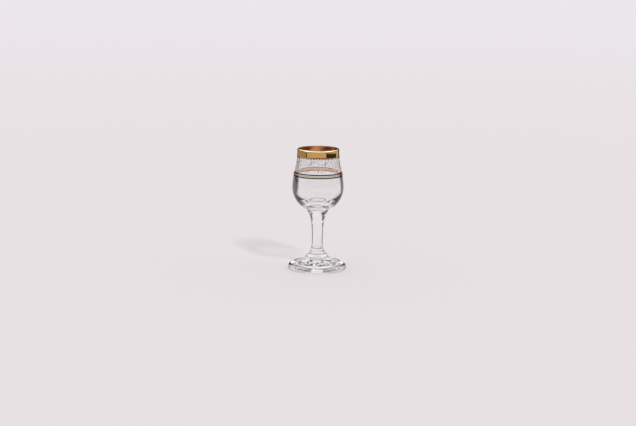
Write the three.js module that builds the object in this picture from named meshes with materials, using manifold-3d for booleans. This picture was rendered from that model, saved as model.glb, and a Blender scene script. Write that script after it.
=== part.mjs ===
// A stemmed vodka glass: a clear glass bowl, stem and foot welded hot, with fired gold trim.
// Millimetres, +Z up, with the origin at the centre of the ring that the glass stands on.

import * as THREE from 'three';
import { mergeVertices } from 'three/addons/utils/BufferGeometryUtils.js';
import Module from 'manifold-3d';

const wasm = await Module();
wasm.setup();

// Foot
const FOOT_DIAMETER = 56;
const FOOT_HEIGHT = 15;
const FOOT_WIDEST_HEIGHT = 1.5;
const FOOT_HEEL_ROUNDING = 0.8;
const FOOT_EDGE_HEIGHT = 5.3;
const FOOT_EDGE_ROUNDING = 3;
const STANDING_RING_WIDTH = 6.5;
const PUNT_DEPTH = 2.5;

// Stem
const STEM_LENGTH = 42.3;
const STEM_BASE_DIAMETER = 16.4;
const STEM_WAIST_DIAMETER = 10.4;
const STEM_WAIST_HEIGHT = 10.5;
const STEM_HEAD_DIAMETER = 20.7;
const STEM_HEAD_LAND = 0.6;

// Bowl
const BOWL_DIAMETER = 49.2;
const RIM_DIAMETER = 39.7;
const SHOULDER_HEIGHT = 32.2;
const COLLAR_HEIGHT = 4.35;
const RIM_WALL = 1.7;
const BELLY_WALL = 2.7;
const FLOOR_THICKNESS = 6.8;

// Gold trim
const GOLD_THICKNESS = 0.2;
const GOLD_CLEARANCE = 0.05;
const LIP_GILDING_SWEEP = 105;
const RIM_BAND_HEIGHT = 5.5;
const RIM_EDGING_LINE = 0.6;
const RIM_BEAD_COUNT = 44;
const RIM_BEAD_LENGTH = 1.9;
const RIM_BEAD_HEIGHT = 1.5;
const RIM_BEAD_OVERLAP = 0.25;
const BELT_DROP = 21.8;
const BELT_LINE_HEIGHT = 1;
const BELT_FRIEZE_HEIGHT = 1.9;
const BELT_SPINE_HEIGHT = 0.5;
const BELT_STUD_COUNT = 44;
const BELT_STUD_LENGTH = 2.6;
const BELT_STUD_HEIGHT = 1.5;
const BEAD_RELIEF = 0.55;
const BEAD_ROOT = 0.15;

// Shape of the sweeps, as shares of the rise and spread that each one covers
const DOME_FLATNESS = 0.48;
const NECK_SPREAD = 0.2;
const NECK_DROP = 0.35;
const BASE_FLARE_LEAN = 0.4;
const BASE_FLARE_RISE = 0.19;
const WAIST_EASE = 0.48;
const SHANK_STRAIGHTNESS = 0.67;
const HEAD_FLARE_SPREAD = 0.73;
const HEAD_FLARE_DROP = 0.19;

// Facets
const SEGMENTS = 44;
const SEAT_STEPS = 4;
const BELLY_STEPS = 8;
const SHOULDER_STEPS = 10;
const LIP_STEPS = 4;
const CAVITY_STEPS = 9;
const SWEEP_STEPS = 6;
const EDGE_STEPS = 4;
const GOLD_STEP_HEIGHT = 2.6;
const BEAD_SIDES = 6;
const BEAD_RINGS = 4;
const SAME_POINT = 1e-6;

// Radii and levels that the pieces share
const footRadius = FOOT_DIAMETER / 2;
const stemBaseRadius = STEM_BASE_DIAMETER / 2;
const stemWaistRadius = STEM_WAIST_DIAMETER / 2;
const stemHeadRadius = STEM_HEAD_DIAMETER / 2;
const bowlRadius = BOWL_DIAMETER / 2;
const rimRadius = RIM_DIAMETER / 2;
const headLevel = FOOT_HEIGHT + STEM_LENGTH;
const bellyLevel = headLevel + Math.sqrt(bowlRadius ** 2 - stemHeadRadius ** 2);
const seatAngle = -Math.acos(stemHeadRadius / bowlRadius);
const collarLevel = bellyLevel + SHOULDER_HEIGHT;
const lipRounding = RIM_WALL / 2;
const lipCentreLevel = collarLevel + COLLAR_HEIGHT - lipRounding;

const clearGlass = new THREE.MeshStandardMaterial({
  color: 0xdde2e4,
  roughness: 0.04,
  metalness: 0,
  transparent: true,
  opacity: 0.35,
});

const firedGold = new THREE.MeshStandardMaterial({ color: 0xc79a5f, roughness: 0.16, metalness: 1 });

const at = (radius, level) => new THREE.Vector2(radius, level);

// An elliptic stretch of a profile, between two angles measured from the horizontal
function arc(centre, across, up, from, to, steps) {
  const curve = new THREE.EllipseCurve(centre.x, centre.y, across, up, from, to, to < from);
  return curve.getPoints(steps);
}

function sweep(start, startHandle, endHandle, end) {
  return new THREE.CubicBezierCurve(start, startHandle, endHandle, end).getPoints(SWEEP_STEPS);
}

// Turns a profile of radius and level round +Z, leaving out points that repeat the one before
function revolve(profile) {
  const isNew = (point, i) => i === 0 || point.distanceTo(profile[i - 1]) > SAME_POINT;
  const points = profile.filter(isNew);
  return new THREE.LatheGeometry(points, SEGMENTS).rotateX(Math.PI / 2);
}

function piece(name, geometry, material) {
  const mesh = new THREE.Mesh(geometry, material);
  mesh.name = name;
  return mesh;
}

// Foot: a domed disc with a rounded edge, hollowed below so that it stands on a ring
function footProfile() {
  const heelRadius = footRadius - FOOT_HEEL_ROUNDING;
  const ringInner = heelRadius - STANDING_RING_WIDTH;
  const domeRadius = footRadius - FOOT_EDGE_ROUNDING;
  const spread = domeRadius - stemBaseRadius;
  const rise = FOOT_HEIGHT - FOOT_EDGE_HEIGHT;
  const punt = new THREE.QuadraticBezierCurve(
    at(0, PUNT_DEPTH),
    at(ringInner / 2, PUNT_DEPTH),
    at(ringInner, 0),
  );
  const heelCentre = at(heelRadius, FOOT_WIDEST_HEIGHT);
  const edgeCentre = at(domeRadius, FOOT_WIDEST_HEIGHT);
  const edgeRise = FOOT_EDGE_HEIGHT - FOOT_WIDEST_HEIGHT;
  return [
    ...punt.getPoints(EDGE_STEPS),
    ...arc(heelCentre, FOOT_HEEL_ROUNDING, FOOT_WIDEST_HEIGHT, -Math.PI / 2, 0, EDGE_STEPS),
    ...arc(edgeCentre, FOOT_EDGE_ROUNDING, edgeRise, 0, Math.PI / 2, EDGE_STEPS),
    ...sweep(
      at(domeRadius, FOOT_EDGE_HEIGHT),
      at(domeRadius - spread * DOME_FLATNESS, FOOT_EDGE_HEIGHT),
      at(stemBaseRadius + spread * NECK_SPREAD, FOOT_HEIGHT - rise * NECK_DROP),
      at(stemBaseRadius, FOOT_HEIGHT),
    ),
    at(0, FOOT_HEIGHT),
  ];
}

// The cap of the bowl's round underside that is welded into the cupped head of the stem
function seatArc() {
  return arc(at(0, bellyLevel), bowlRadius, bowlRadius, -Math.PI / 2, seatAngle, SEAT_STEPS);
}

// Stem: flared base, slim waist and a head that opens to carry the bowl
function stemProfile() {
  const waistLevel = FOOT_HEIGHT + STEM_WAIST_HEIGHT;
  const landLevel = headLevel - STEM_HEAD_LAND;
  const baseSpread = stemBaseRadius - stemWaistRadius;
  const baseHandleLevel = FOOT_HEIGHT + STEM_WAIST_HEIGHT * BASE_FLARE_RISE;
  const headSpread = stemHeadRadius - stemWaistRadius;
  const headRise = landLevel - waistLevel;
  return [
    at(0, FOOT_HEIGHT),
    ...sweep(
      at(stemBaseRadius, FOOT_HEIGHT),
      at(stemBaseRadius - baseSpread * BASE_FLARE_LEAN, baseHandleLevel),
      at(stemWaistRadius, waistLevel - STEM_WAIST_HEIGHT * WAIST_EASE),
      at(stemWaistRadius, waistLevel),
    ),
    ...sweep(
      at(stemWaistRadius, waistLevel),
      at(stemWaistRadius, waistLevel + headRise * SHANK_STRAIGHTNESS),
      at(stemHeadRadius - headSpread * HEAD_FLARE_SPREAD, landLevel - headRise * HEAD_FLARE_DROP),
      at(stemHeadRadius, landLevel),
    ),
    ...seatArc().reverse(),
  ];
}

// Radius of the shoulder that runs from the belly up to the straight collar below the lip
function shoulderRadius(level, bellyRadius, collarRadius) {
  const share = THREE.MathUtils.smoothstep(level, bellyLevel, collarLevel);
  return THREE.MathUtils.lerp(bellyRadius, collarRadius, share);
}

function shoulder(bellyRadius, collarRadius) {
  const points = [];
  for (let i = 0; i <= SHOULDER_STEPS; i++) {
    const level = bellyLevel + (SHOULDER_HEIGHT * i) / SHOULDER_STEPS;
    points.push(at(shoulderRadius(level, bellyRadius, collarRadius), level));
  }
  return points;
}

// The round of the lip, grown by a distance and followed from outside to inside up to an angle
function lipArc(growth, end) {
  const radius = lipRounding + growth;
  return arc(at(rimRadius - lipRounding, lipCentreLevel), radius, radius, 0, end, LIP_STEPS);
}

// Bowl: a round belly drawn in to the rim, with a wall that thickens towards a heavy floor
function bowlProfile() {
  const cavityRadius = bowlRadius - BELLY_WALL;
  const cavityDepth = bowlRadius - FLOOR_THICKNESS;
  return [
    ...seatArc(),
    ...arc(at(0, bellyLevel), bowlRadius, bowlRadius, seatAngle, 0, BELLY_STEPS),
    ...shoulder(bowlRadius, rimRadius),
    ...lipArc(0, Math.PI),
    ...shoulder(cavityRadius, rimRadius - RIM_WALL).reverse(),
    ...arc(at(0, bellyLevel), cavityRadius, cavityDepth, 0, -Math.PI / 2, CAVITY_STEPS),
  ];
}

// Outer radius of the glass at any level of the bowl
function outerRadius(level) {
  const drop = Math.max(bellyLevel - level, 0);
  const roundRadius = Math.sqrt(bowlRadius ** 2 - drop ** 2);
  return shoulderRadius(level, roundRadius, rimRadius);
}

// The bowl's surface between two levels, grown by a distance and followed upwards
function surface(low, high, growth) {
  const steps = Math.ceil((high - low) / GOLD_STEP_HEIGHT);
  const points = [];
  for (let i = 0; i <= steps; i++) {
    const level = THREE.MathUtils.lerp(low, high, i / steps);
    points.push(at(outerRadius(level) + growth, level));
  }
  return points;
}

// A ring that lies on the bowl between two levels and two distances from its surface
function sleeve(low, high, inner, outer) {
  const inside = surface(low, high, inner).reverse();
  return revolve([...surface(low, high, outer), ...inside, at(outerRadius(low) + outer, low)]);
}

function goldSleeve(low, high) {
  return sleeve(low, high, GOLD_CLEARANCE, GOLD_CLEARANCE + GOLD_THICKNESS);
}

// Gold brushed over the lip, from the level where the rim band begins to just past the crown
function lipGildingProfile() {
  const end = THREE.MathUtils.degToRad(LIP_GILDING_SWEEP);
  const outside = lipArc(GOLD_CLEARANCE + GOLD_THICKNESS, end);
  const inside = lipArc(GOLD_CLEARANCE, end).reverse();
  return [...outside, ...inside, outside[0]];
}

function solidFrom(geometry) {
  const bare = geometry.clone();
  bare.deleteAttribute('normal');
  bare.deleteAttribute('uv');
  const merged = mergeVertices(bare);
  const vertProperties = new Float32Array(merged.attributes.position.array);
  const triVerts = new Uint32Array(merged.index.array);
  return new wasm.Manifold(new wasm.Mesh({ numProp: 3, vertProperties, triVerts }));
}

function geometryFrom(solid) {
  const mesh = solid.getMesh();
  const geometry = new THREE.BufferGeometry();
  geometry.setAttribute('position', new THREE.BufferAttribute(mesh.vertProperties, 3));
  geometry.setIndex(new THREE.BufferAttribute(mesh.triVerts, 1));
  geometry.computeVertexNormals();
  return geometry;
}

// How far the bowl's surface leans back from upright, over the height of a bead
function surfaceLean(level, height) {
  const drawnIn = outerRadius(level - height / 2) - outerRadius(level + height / 2);
  return Math.atan2(drawnIn, height);
}

// Places a bead's length, height and relief along, up and out from the bowl at one angle
function beadPlace(level, height, angle) {
  const lean = surfaceLean(level, height);
  const out = new THREE.Vector3(Math.cos(angle), Math.sin(angle), 0);
  const along = new THREE.Vector3(-Math.sin(angle), Math.cos(angle), 0);
  const normal = out.clone().multiplyScalar(Math.cos(lean)).setZ(Math.sin(lean));
  const up = new THREE.Vector3().crossVectors(normal, along);
  const spot = out.clone().multiplyScalar(outerRadius(level) - BEAD_ROOT).setZ(level);
  return new THREE.Matrix4().makeBasis(along, up, normal).setPosition(spot);
}

// A narrow gold line with a row of raised beads fused along it. Each bead is centred just below
// the glass, and a ring twice as deep as its root trims the row to the bowl's surface.
function beadedLine({ low, high, bead, length, height, level, count }) {
  const outer = GOLD_CLEARANCE + GOLD_THICKNESS;
  const root = BEAD_ROOT + BEAD_RELIEF;
  const shape = bead.clone().scale(length / 2, height / 2, root);
  let row = solidFrom(sleeve(low, high, -root, outer));
  for (let i = 0; i < count; i++) {
    const angle = (2 * Math.PI * (i + 0.5)) / count;
    row = row.add(solidFrom(shape.clone().applyMatrix4(beadPlace(level, height, angle))));
  }
  const bedLow = Math.min(low, level - height);
  const bedHigh = Math.max(high, level + height);
  const bed = solidFrom(sleeve(bedLow, bedHigh, -2 * root, GOLD_CLEARANCE));
  return geometryFrom(row.subtract(bed));
}

// Levels of the gold trim, counted down from the lip
const edgingTop = lipCentreLevel - RIM_BAND_HEIGHT;
const edgingLow = edgingTop - RIM_EDGING_LINE;
const beltTop = lipCentreLevel + lipRounding - BELT_DROP;
const beltFriezeTop = beltTop - BELT_LINE_HEIGHT;
const beltFriezeLow = beltFriezeTop - BELT_FRIEZE_HEIGHT;
const beltMiddle = (beltFriezeTop + beltFriezeLow) / 2;

const roundBead = new THREE.SphereGeometry(1, BEAD_SIDES, BEAD_RINGS).rotateX(Math.PI / 2);
const lozengeStud = new THREE.OctahedronGeometry(1);

const rimBeading = beadedLine({
  low: edgingLow,
  high: edgingTop,
  bead: roundBead,
  length: RIM_BEAD_LENGTH,
  height: RIM_BEAD_HEIGHT,
  level: edgingLow + RIM_BEAD_OVERLAP - RIM_BEAD_HEIGHT / 2,
  count: RIM_BEAD_COUNT,
});

const beltFrieze = beadedLine({
  low: beltMiddle - BELT_SPINE_HEIGHT / 2,
  high: beltMiddle + BELT_SPINE_HEIGHT / 2,
  bead: lozengeStud,
  length: BELT_STUD_LENGTH,
  height: BELT_STUD_HEIGHT,
  level: beltMiddle,
  count: BELT_STUD_COUNT,
});

const vodkaGlass = new THREE.Group();
vodkaGlass.add(
  piece('foot', revolve(footProfile()), clearGlass),
  piece('stem', revolve(stemProfile()), clearGlass),
  piece('bowl', revolve(bowlProfile()), clearGlass),
  piece('lip_gilding', revolve(lipGildingProfile()), firedGold),
  piece('rim_band', goldSleeve(edgingTop, lipCentreLevel), firedGold),
  piece('rim_band_beading', rimBeading, firedGold),
  piece('belt_upper_line', goldSleeve(beltFriezeTop, beltTop), firedGold),
  piece('belt_frieze', beltFrieze, firedGold),
  piece('belt_lower_line', goldSleeve(beltFriezeLow - BELT_LINE_HEIGHT, beltFriezeLow), firedGold),
);

export default vodkaGlass;
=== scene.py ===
import math
from typing import NamedTuple

import bmesh
import bpy
from mathutils import Matrix, Vector


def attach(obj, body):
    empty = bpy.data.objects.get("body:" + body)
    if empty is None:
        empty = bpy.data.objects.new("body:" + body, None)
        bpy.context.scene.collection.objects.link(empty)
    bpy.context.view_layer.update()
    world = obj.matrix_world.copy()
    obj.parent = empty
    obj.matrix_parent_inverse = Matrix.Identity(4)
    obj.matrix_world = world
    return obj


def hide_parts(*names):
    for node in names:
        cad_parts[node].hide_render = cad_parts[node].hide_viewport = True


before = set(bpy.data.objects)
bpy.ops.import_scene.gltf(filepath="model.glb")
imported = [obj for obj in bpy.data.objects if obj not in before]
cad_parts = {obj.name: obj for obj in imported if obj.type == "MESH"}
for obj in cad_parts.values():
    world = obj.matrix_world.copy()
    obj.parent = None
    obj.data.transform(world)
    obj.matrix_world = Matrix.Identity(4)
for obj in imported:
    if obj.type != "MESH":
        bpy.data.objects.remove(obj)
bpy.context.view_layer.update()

MM = 0.001
QUARTER_TURN = math.pi / 2
FULL_TURN = 2 * math.pi

# Foot. Sizes are in millimetres, and those of the foot, stem, bowl and gold repeat the CAD model's.
FOOT_RADIUS = 28.0
FOOT_HEIGHT = 15.0
FOOT_WIDEST_HEIGHT = 1.5
FOOT_HEEL_ROUNDING = 0.8
FOOT_EDGE_HEIGHT = 5.3
FOOT_EDGE_ROUNDING = 3.0
STANDING_RING_WIDTH = 6.5
PUNT_DEPTH = 2.5
DOME_FLATNESS = 0.48
NECK_SPREAD = 0.2
NECK_DROP = 0.35

# Stem
STEM_BASE_RADIUS = 8.2
STEM_WAIST_RADIUS = 5.2
STEM_WAIST_LEVEL = 25.5
STEM_HEAD_RADIUS = 10.35
STEM_HEAD_LAND = 0.6
HEAD_LEVEL = 57.3
BASE_FLARE_LEAN = 0.4
BASE_FLARE_RISE = 0.19
WAIST_EASE = 0.48
SHANK_STRAIGHTNESS = 0.67
HEAD_FLARE_SPREAD = 0.73
HEAD_FLARE_DROP = 0.19

# Bowl
BOWL_RADIUS = 24.6
RIM_RADIUS = 19.85
RIM_WALL = 1.7
BELLY_WALL = 2.7
FLOOR_THICKNESS = 6.8
SHOULDER_HEIGHT = 32.2
COLLAR_HEIGHT = 4.35
BELLY_LEVEL = HEAD_LEVEL + math.sqrt(BOWL_RADIUS**2 - STEM_HEAD_RADIUS**2)
COLLAR_LEVEL = BELLY_LEVEL + SHOULDER_HEIGHT
LIP_ROUNDING = RIM_WALL / 2
LIP_CENTRE_LEVEL = COLLAR_LEVEL + COLLAR_HEIGHT - LIP_ROUNDING
SEAT_ANGLE = -math.acos(STEM_HEAD_RADIUS / BOWL_RADIUS)

# Gold. Over the crown of the lip it is a little thinner, to stay inside the faceted CAD model.
GOLD_RELIEF = 0.25
GOLD_BITE = 0.02
LIP_GILDING_SWEEP = math.radians(105)
CROWN_SHARE = 0.9
RIM_BAND_HEIGHT = 5.5
RIM_EDGING_LINE = 0.6
RIM_BEAD_LENGTH = 1.9
RIM_BEAD_HEIGHT = 1.5
RIM_BEAD_OVERLAP = 0.25
BELT_DROP = 21.8
BELT_LINE_HEIGHT = 1.0
BELT_FRIEZE_HEIGHT = 1.9
BELT_SPINE_HEIGHT = 0.5
BELT_STUD_LENGTH = 2.6
BELT_STUD_HEIGHT = 1.5
BEAD_COUNT = 44
BEAD_RELIEF = 0.55
BEAD_ROOT = 0.15
EDGING_TOP = LIP_CENTRE_LEVEL - RIM_BAND_HEIGHT
EDGING_LOW = EDGING_TOP - RIM_EDGING_LINE
RIM_BEAD_LEVEL = EDGING_LOW + RIM_BEAD_OVERLAP - RIM_BEAD_HEIGHT / 2
BELT_TOP = LIP_CENTRE_LEVEL + LIP_ROUNDING - BELT_DROP
BELT_FRIEZE_TOP = BELT_TOP - BELT_LINE_HEIGHT
BELT_FRIEZE_LOW = BELT_FRIEZE_TOP - BELT_FRIEZE_HEIGHT
BELT_LOW = BELT_FRIEZE_LOW - BELT_LINE_HEIGHT
BELT_MIDDLE = (BELT_FRIEZE_TOP + BELT_FRIEZE_LOW) / 2

# Etched frieze. Lengths run round the bowl at one radius, turns and bends are in radians.
ETCH_GAP_BELOW = 1.2
ETCH_GAP_ABOVE = 0.9
ETCH_LOW = BELT_TOP + ETCH_GAP_BELOW
ETCH_HIGH = RIM_BEAD_LEVEL - RIM_BEAD_HEIGHT / 2 - ETCH_GAP_ABOVE
ETCH_MIDDLE = (ETCH_LOW + ETCH_HIGH) / 2
ETCH_RADIUS = 21.0
ETCH_LINE = 0.13
ETCH_LIFT = 0.02
ETCH_BITE = 0.01
VINE_SWING = 4.6
VINE_LINE = ETCH_LINE * 1.3
SCROLL_COUNT = 18
SCROLL_RADIUS = 4.4
SCROLL_CORE = 0.75
SCROLL_TURNS = 1.75
SCROLL_TIGHTENING = 0.75
SCROLL_DROP = 0.7
SCROLL_LINE = ETCH_LINE * 1.4
SCROLL_END_LINE = ETCH_LINE * 0.8
LEAVES = 6
FIRST_LEAF = 0.06
LEAF_SPACING = 0.07
LEAF_LENGTH = 1.7
LEAF_SHRINK = 0.05
LEAF_WIDTH = 0.32
LEAF_TIP = ETCH_LINE * 0.5
LEAF_FULLNESS = 0.8
OUTER_LEAF_TURN = 0.75
OUTER_LEAF_BEND = 0.9
INNER_LEAF_TURN = 0.8
INNER_LEAF_BEND = 0.7
INNER_LEAF_LENGTH = LEAF_LENGTH * 0.6
SPRIG_RISE = VINE_SWING * 0.92
SPRIG_LEAF_TURNS = (-0.9, 0.0, 0.9)
SPRIG_LEAF_BEND = 0.3
SPRIG_LEAF_LENGTH = LEAF_LENGTH * 0.8
BERRY_RADIUS = 0.5
SPRIG_BERRY_RADIUS = BERRY_RADIUS * 0.7
SPRIG_BERRY_RISE = 0.5

# Fineness of the surfaces
SEGMENTS = 160
PUNT_STEPS = 20
HEEL_STEPS = 10
EDGE_STEPS = 16
DOME_STEPS = 32
FLARE_STEPS = 24
SHANK_STEPS = 36
SEAT_STEPS = 12
BELLY_STEPS = 32
SHOULDER_STEPS = 40
HOLLOW_STEPS = 40
LIP_STEPS = 16
GOLD_STEP = 0.4
STUD_SIDES = 20
STUD_RINGS = 6
VINE_STEPS = 12
SCROLL_STEPS = 56
LEAF_STEPS = 5
DOT_SIDES = 10
CREASE = math.radians(35)
SAME_POINT = 1e-6

# Numbers of the materials on a piece of glass, then on a piece of gold
CLEAR = 0
WELD = 1
INNER = 2
FACE = 0
UNDERSIDE = 1
# Gold darkened as painted shade, on the beads' lower flanks and between the belt's studs
SHADED = 2


def lerp(start, end, share):
    return start + (end - start) * share


def mm(*values):
    """Millimetres as metres, the unit of the scene."""
    return tuple(value * MM for value in values)


# Ways to build a mesh

def arc(centre, across, up, start, end, steps):
    points = []
    for i in range(steps + 1):
        angle = lerp(start, end, i / steps)
        points.append((centre[0] + across * math.cos(angle), centre[1] + up * math.sin(angle)))
    return points


def sweep(start, start_handle, end_handle, end, steps):
    """Points along a cubic curve from its ends and handles."""
    handles = (start, start_handle, end_handle, end)
    points = []
    for i in range(steps + 1):
        t = i / steps
        weights = ((1 - t) ** 3, 3 * t * (1 - t) ** 2, 3 * t * t * (1 - t), t**3)
        points.append(tuple(sum(w * h[k] for w, h in zip(weights, handles)) for k in (0, 1)))
    return points


def on_circle(radius, angle, level):
    return Vector((radius * math.cos(angle), radius * math.sin(angle), level)) * MM


def face_between(mesh, ring, above, i, count):
    """Face number i of the strip between two rings, a triangle where one ring is a single point."""
    j = (i + 1) % count
    corners = (ring[i % len(ring)], ring[j % len(ring)], above[j % len(above)], above[i % len(above)])
    return mesh.faces.new(list(dict.fromkeys(corners)))


def joined(runs):
    """One profile from all runs, with the material number of each stretch between two points."""
    profile, numbers = [], []
    for points, number in runs:
        for point in points:
            if profile and math.dist(point, profile[-1]) < SAME_POINT:
                continue
            if profile:
                numbers.append(number)
            profile.append(point)
    return profile, numbers


def lathe(runs, closed=False):
    """Turns runs of (radius, level) points round the axis. Each run is (points, material number)."""
    profile, numbers = joined(runs)
    if closed:
        profile.pop()
    mesh = bmesh.new()
    rings = []
    for radius, level in profile:
        count = SEGMENTS if radius > SAME_POINT else 1
        spots = [on_circle(radius, FULL_TURN * i / SEGMENTS, level) for i in range(count)]
        rings.append([mesh.verts.new(spot) for spot in spots])
    following = rings[1:] + rings[:1] if closed else rings[1:]
    for ring, above, number in zip(rings, following, numbers):
        for i in range(SEGMENTS):
            face_between(mesh, ring, above, i, SEGMENTS).material_index = number
    return mesh


def add_object(name, mesh, materials):
    data = bpy.data.meshes.new(name)
    mesh.to_mesh(data)
    mesh.free()
    for material in materials:
        data.materials.append(material)
    made = bpy.data.objects.new(name, data)
    bpy.context.scene.collection.objects.link(made)
    return made


def piece(name, mesh, materials, slot, *nodes):
    """A visible piece of the glass. The nodes are those of the CAD model whose place it takes."""
    bmesh.ops.recalc_face_normals(mesh, faces=mesh.faces)
    for face in mesh.faces:
        face.smooth = True
    for edge in mesh.edges:
        edge.smooth = edge.calc_face_angle(math.pi) < CREASE
    made = add_object(name, mesh, materials)
    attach(made, "root")
    if nodes:
        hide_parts(*nodes)


# Shapes of the glass

def foot_runs():
    heel = FOOT_RADIUS - FOOT_HEEL_ROUNDING
    ring_inner = heel - STANDING_RING_WIDTH
    dome = FOOT_RADIUS - FOOT_EDGE_ROUNDING
    spread = dome - STEM_BASE_RADIUS
    rise = FOOT_HEIGHT - FOOT_EDGE_HEIGHT
    edge_rise = FOOT_EDGE_HEIGHT - FOOT_WIDEST_HEIGHT
    shares = [i / PUNT_STEPS for i in range(PUNT_STEPS + 1)]
    punt = [(ring_inner * share, PUNT_DEPTH * (1 - share * share)) for share in shares]
    heel_centre = (heel, FOOT_WIDEST_HEIGHT)
    edge_centre = (dome, FOOT_WIDEST_HEIGHT)
    skin = [
        *arc(heel_centre, FOOT_HEEL_ROUNDING, FOOT_WIDEST_HEIGHT, -QUARTER_TURN, 0, HEEL_STEPS),
        *arc(edge_centre, FOOT_EDGE_ROUNDING, edge_rise, 0, QUARTER_TURN, EDGE_STEPS),
        *sweep(
            (dome, FOOT_EDGE_HEIGHT),
            (dome - spread * DOME_FLATNESS, FOOT_EDGE_HEIGHT),
            (STEM_BASE_RADIUS + spread * NECK_SPREAD, FOOT_HEIGHT - rise * NECK_DROP),
            (STEM_BASE_RADIUS, FOOT_HEIGHT),
            DOME_STEPS,
        ),
    ]
    weld = [(STEM_BASE_RADIUS, FOOT_HEIGHT), (0, FOOT_HEIGHT)]
    return [(punt, INNER), (skin, CLEAR), (weld, WELD)]


def seat_arc():
    return arc((0, BELLY_LEVEL), BOWL_RADIUS, BOWL_RADIUS, -QUARTER_TURN, SEAT_ANGLE, SEAT_STEPS)


def stem_runs():
    land = HEAD_LEVEL - STEM_HEAD_LAND
    base_spread = STEM_BASE_RADIUS - STEM_WAIST_RADIUS
    waist_rise = STEM_WAIST_LEVEL - FOOT_HEIGHT
    head_spread = STEM_HEAD_RADIUS - STEM_WAIST_RADIUS
    head_rise = land - STEM_WAIST_LEVEL
    skin = [
        *sweep(
            (STEM_BASE_RADIUS, FOOT_HEIGHT),
            (STEM_BASE_RADIUS - base_spread * BASE_FLARE_LEAN, FOOT_HEIGHT + waist_rise * BASE_FLARE_RISE),
            (STEM_WAIST_RADIUS, STEM_WAIST_LEVEL - waist_rise * WAIST_EASE),
            (STEM_WAIST_RADIUS, STEM_WAIST_LEVEL),
            FLARE_STEPS,
        ),
        *sweep(
            (STEM_WAIST_RADIUS, STEM_WAIST_LEVEL),
            (STEM_WAIST_RADIUS, STEM_WAIST_LEVEL + head_rise * SHANK_STRAIGHTNESS),
            (STEM_HEAD_RADIUS - head_spread * HEAD_FLARE_SPREAD, land - head_rise * HEAD_FLARE_DROP),
            (STEM_HEAD_RADIUS, land),
            SHANK_STEPS,
        ),
        (STEM_HEAD_RADIUS, HEAD_LEVEL),
    ]
    base = [(0, FOOT_HEIGHT), (STEM_BASE_RADIUS, FOOT_HEIGHT)]
    return [(base, WELD), (skin, CLEAR), (seat_arc()[::-1], WELD)]


def shoulder_radius(level, belly, collar):
    share = min(max((level - BELLY_LEVEL) / SHOULDER_HEIGHT, 0), 1)
    return lerp(belly, collar, share * share * (3 - 2 * share))


def shoulder(belly, collar):
    levels = [BELLY_LEVEL + SHOULDER_HEIGHT * i / SHOULDER_STEPS for i in range(SHOULDER_STEPS + 1)]
    return [(shoulder_radius(level, belly, collar), level) for level in levels]


def lip_arc(growth, end):
    """The rounded lip from outside to an angle past its crown, grown by the thickness of the gold."""
    across = LIP_ROUNDING + growth
    up = LIP_ROUNDING + growth * CROWN_SHARE
    return arc((RIM_RADIUS - LIP_ROUNDING, LIP_CENTRE_LEVEL), across, up, 0, end, LIP_STEPS)


def bowl_runs():
    cavity = BOWL_RADIUS - BELLY_WALL
    depth = BOWL_RADIUS - FLOOR_THICKNESS
    skin = [
        *arc((0, BELLY_LEVEL), BOWL_RADIUS, BOWL_RADIUS, SEAT_ANGLE, 0, BELLY_STEPS),
        *shoulder(BOWL_RADIUS, RIM_RADIUS),
        *lip_arc(0, math.pi),
    ]
    hollow = [
        *shoulder(cavity, RIM_RADIUS - RIM_WALL)[::-1],
        *arc((0, BELLY_LEVEL), cavity, depth, 0, -QUARTER_TURN, HOLLOW_STEPS),
    ]
    return [(seat_arc(), WELD), (skin, CLEAR), (hollow, INNER)]


def outer_radius(level):
    drop = max(BELLY_LEVEL - level, 0)
    return shoulder_radius(level, math.sqrt(BOWL_RADIUS**2 - drop**2), RIM_RADIUS)


# Shapes of the gold

class Stud(NamedTuple):
    """A raised bead on the bowl: round at power 2, a lozenge with soft edges near power 1.

    Its lowest rows of faces get painted shade below FLANK_TOP, a sine: 0 is half way up the bead and 1 its
    top.
    """

    level: float
    height: float
    length: float
    power: float
    dark_rows: int


FLANK_TOP = 0.85
RIM_BEAD = Stud(RIM_BEAD_LEVEL, RIM_BEAD_HEIGHT, RIM_BEAD_LENGTH, power=2.0, dark_rows=STUD_RINGS)
BELT_STUD = Stud(BELT_MIDDLE, BELT_STUD_HEIGHT, BELT_STUD_LENGTH, power=1.5, dark_rows=1)


def surface(low, high, growth):
    steps = max(2, math.ceil((high - low) / GOLD_STEP))
    levels = [lerp(low, high, i / steps) for i in range(steps + 1)]
    return [(outer_radius(level) + growth, level) for level in levels]


def gold_ring(face, underside, number=FACE):
    return lathe([(face, number), (underside[::-1], UNDERSIDE), (face[:1], number)], closed=True)


def sleeve(low, high, number=FACE):
    """A gold ring on the bowl, whose inner face lies just under the skin of the glass."""
    return gold_ring(surface(low, high, GOLD_RELIEF), surface(low, high, -GOLD_BITE), number)


def lip_gilding():
    return gold_ring(lip_arc(GOLD_RELIEF, LIP_GILDING_SWEEP), lip_arc(-GOLD_BITE, LIP_GILDING_SWEEP))


def place_on_bowl(level, height, angle):
    drawn_in = outer_radius(level - height / 2) - outer_radius(level + height / 2)
    lean = math.atan2(drawn_in, height)
    out = Vector((math.cos(angle), math.sin(angle), 0))
    along = Vector((-math.sin(angle), math.cos(angle), 0))
    normal = out * math.cos(lean) + Vector((0, 0, math.sin(lean)))
    up = normal.cross(along)
    spot = out * outer_radius(level) + Vector((0, 0, level))
    return along, up, normal, spot


def bent(value, power):
    """A sine or cosine that draws a lozenge instead of a circle as the power falls to 1."""
    return math.copysign(abs(value) ** (2 / power), value)


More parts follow.
